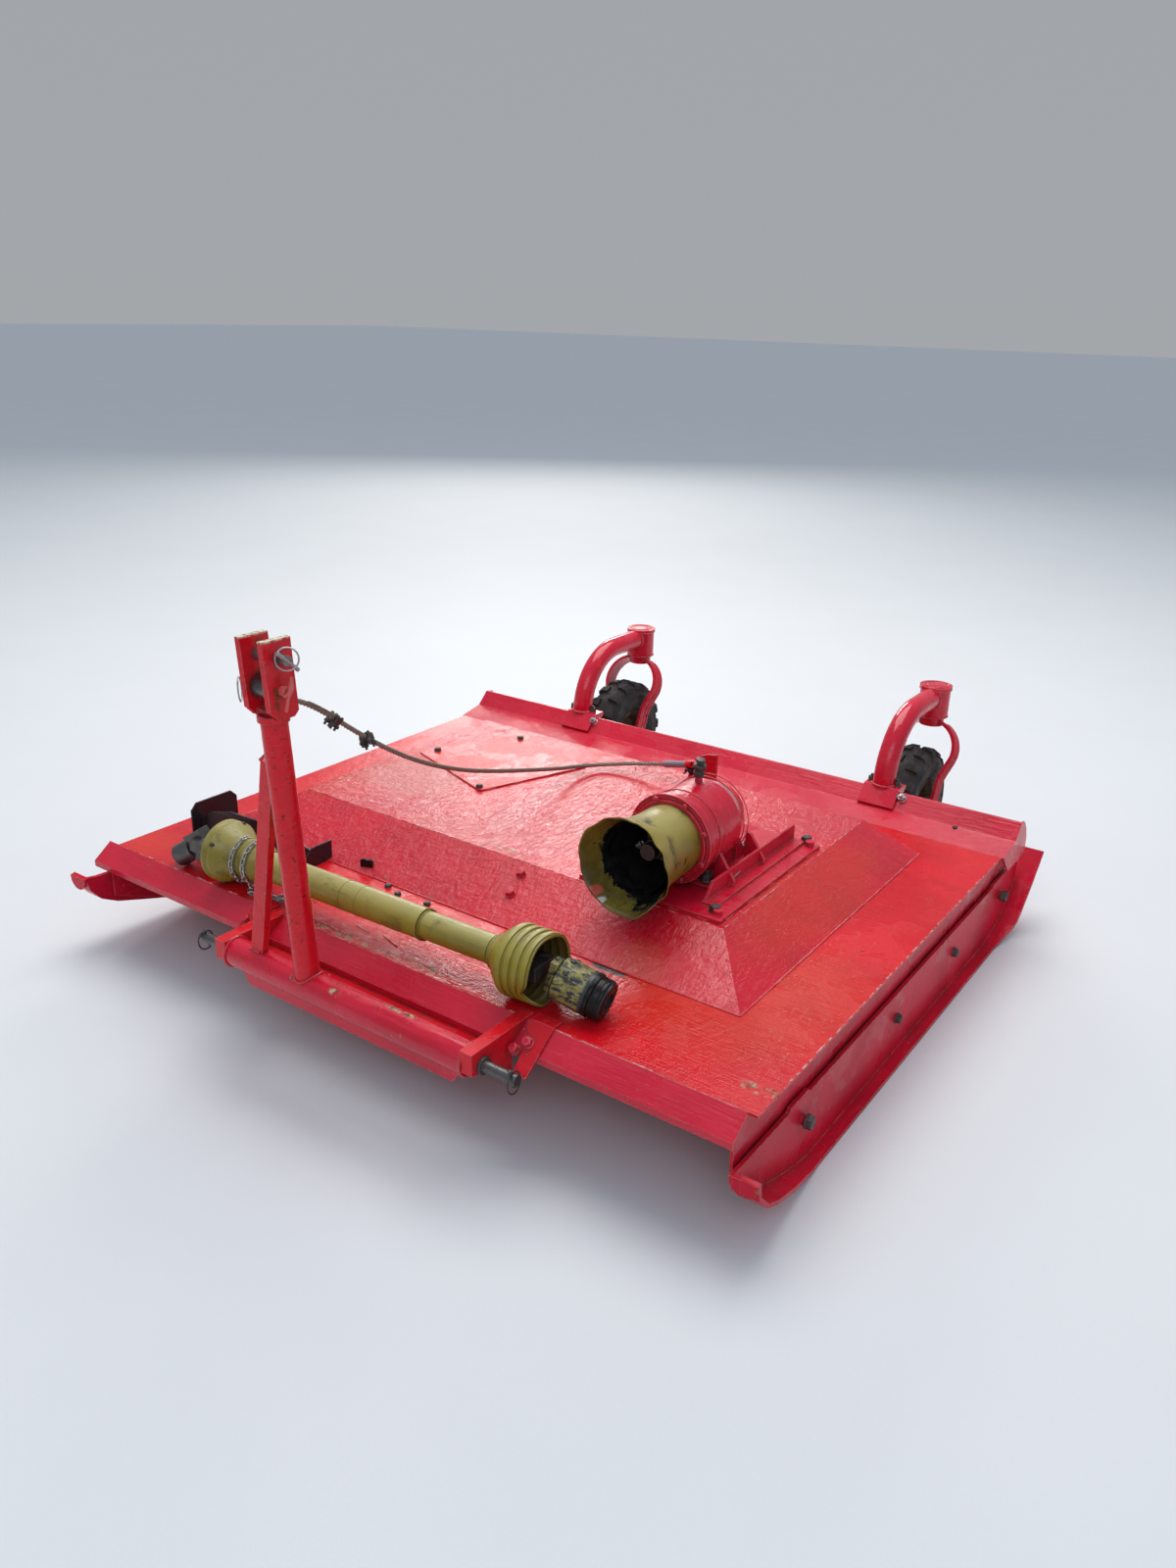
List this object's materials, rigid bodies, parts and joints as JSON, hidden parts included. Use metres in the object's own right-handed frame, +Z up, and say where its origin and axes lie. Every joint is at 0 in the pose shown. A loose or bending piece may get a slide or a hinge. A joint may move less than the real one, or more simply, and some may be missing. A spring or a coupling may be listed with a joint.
{
  "type": "twin-rotor rotary slasher for a three-point hitch",
  "caption": "Flat-decked rotary slasher on skids with a three-point headstock, gearbox, stowed drive shaft, swinging blades and trailing castor wheels.",
  "frame": {"origin": "middle of the machine's bounding box on the ground, without the stay cable and its sleeve", "axes": "+X to the machine's right, +Y rearwards to the castor wheels, +Z up"},
  "size_m": [1.766, 1.9494, 0.906],
  "materials": {
    "deck_paint": "glossy brushed-on red paint with chips and dirt",
    "frame_paint": "glossy brushed-on red paint, rust at the edges",
    "gearbox_paint": "glossy red paint over rough castings",
    "underside_rust": "rust with dried earth",
    "blade_steel": "worn steel with rust",
    "pin_steel": "greasy bare steel",
    "yellow_guard": "weathered olive yellow plastic",
    "dark_steel": "greasy dark steel with worn yellow paint",
    "black_sheet": "dull black sheet",
    "tyre_rubber": "black rubber, dusty",
    "cable_sheath": "worn dark sheath",
    "cable_sleeve": "grey sleeve"
  },
  "bodies": {
    "mower_body": {"cable_bracket": "frame_paint", "cable_sleeve": "cable_sleeve", "castor_arm_left": "frame_paint", "castor_arm_right": "frame_paint", "cross_tube": "frame_paint", "deck_plate": "deck_paint", "deck_shield": "black_sheet", "drive_case": "deck_paint", "drive_case_floor": "underside_rust", "drive_cover": "deck_paint", "front_rail": "deck_paint", "gearbox_guard": "yellow_guard", "gearbox_housing": "gearbox_paint", "gearbox_plate": "frame_paint", "hitch_arm_left": "frame_paint", "hitch_arm_right": "frame_paint", "hitch_rear_bar": "frame_paint", "hitch_strap_left": "frame_paint", "hitch_strap_right": "frame_paint", "lower_pin_left": "pin_steel", "lower_pin_right": "pin_steel", "mast_brace": "frame_paint", "mast_roller": "pin_steel", "mast_tube": "frame_paint", "rear_rail": "frame_paint", "shaft_bell_guard": "yellow_guard", "shaft_chain": "pin_steel", "shaft_clutch": "dark_steel", "shaft_cone_guard": "yellow_guard", "shaft_tube_inner": "yellow_guard", "shaft_tube_outer": "yellow_guard", "shaft_yoke_left": "dark_steel", "shaft_yoke_right": "dark_steel", "side_plate_left": "frame_paint", "side_plate_right": "frame_paint", "skid_left": "frame_paint", "skid_right": "frame_paint", "stay_cable": "cable_sheath", "top_clevis": "frame_paint", "top_link_pin": "pin_steel"},
    "blade_left_a": {"blade_left_a": "blade_steel"},
    "blade_left_b": {"blade_left_b": "blade_steel"},
    "blade_right_a": {"blade_right_a": "blade_steel"},
    "blade_right_b": {"blade_right_b": "blade_steel"},
    "castor_left": {"castor_axle_left": "pin_steel", "castor_fork_left": "frame_paint"},
    "castor_right": {"castor_axle_right": "pin_steel", "castor_fork_right": "frame_paint"},
    "wheel_left": {"castor_rim_left": "frame_paint", "castor_tyre_left": "tyre_rubber"},
    "wheel_right": {"castor_rim_right": "frame_paint", "castor_tyre_right": "tyre_rubber"},
    "input_shaft": {"input_shaft": "pin_steel"},
    "rotor_left": {"rotor_left": "underside_rust"},
    "rotor_right": {"rotor_right": "underside_rust"}
  },
  "joints": [
    {"name": "castor_left_swivel", "type": "hinge", "parent": "mower_body", "child": "castor_left", "pos_m": [-0.485, 0.90475, 0.41], "axis": [0, 0, 1], "continuous": true},
    {"name": "wheel_left_spin", "type": "hinge", "parent": "castor_left", "child": "wheel_left", "pos_m": [-0.485, 0.80475, 0.17], "axis": [1, 0, 0], "continuous": true},
    {"name": "castor_right_swivel", "type": "hinge", "parent": "mower_body", "child": "castor_right", "pos_m": [0.485, 0.90475, 0.41], "axis": [0, 0, 1], "continuous": true},
    {"name": "wheel_right_spin", "type": "hinge", "parent": "castor_right", "child": "wheel_right", "pos_m": [0.485, 0.80475, 0.17], "axis": [1, 0, 0], "continuous": true},
    {"name": "rotor_left_spin", "type": "hinge", "parent": "mower_body", "child": "rotor_left", "pos_m": [-0.383, 0.07675, 0.172], "axis": [0, 0, 1], "continuous": true},
    {"name": "blade_left_a_swing", "type": "hinge", "parent": "rotor_left", "child": "blade_left_a", "pos_m": [-0.26, 0.30808, 0.111], "axis": [0, 0, 1], "range_deg": [-100, 100]},
    {"name": "blade_left_b_swing", "type": "hinge", "parent": "rotor_left", "child": "blade_left_b", "pos_m": [-0.506, -0.15458, 0.111], "axis": [0, 0, 1], "range_deg": [-100, 100]},
    {"name": "rotor_right_spin", "type": "hinge", "parent": "mower_body", "child": "rotor_right", "pos_m": [0.365, -0.14525, 0.172], "axis": [0, 0, 1], "continuous": true},
    {"name": "blade_right_a_swing", "type": "hinge", "parent": "rotor_right", "child": "blade_right_a", "pos_m": [0.59633, -0.26825, 0.111], "axis": [0, 0, 1], "range_deg": [-100, 100]},
    {"name": "blade_right_b_swing", "type": "hinge", "parent": "rotor_right", "child": "blade_right_b", "pos_m": [0.13367, -0.02225, 0.111], "axis": [0, 0, 1], "range_deg": [-100, 100]},
    {"name": "input_shaft_spin", "type": "hinge", "parent": "mower_body", "child": "input_shaft", "pos_m": [0.365, -0.29325, 0.421], "axis": [0, 1, 0], "continuous": true}
  ],
  "couplings": [
    {"joint": "rotor_left_spin", "follows": "rotor_right_spin", "ratio": 1},
    {"joint": "input_shaft_spin", "follows": "rotor_right_spin", "ratio": 0.52}
  ]
}
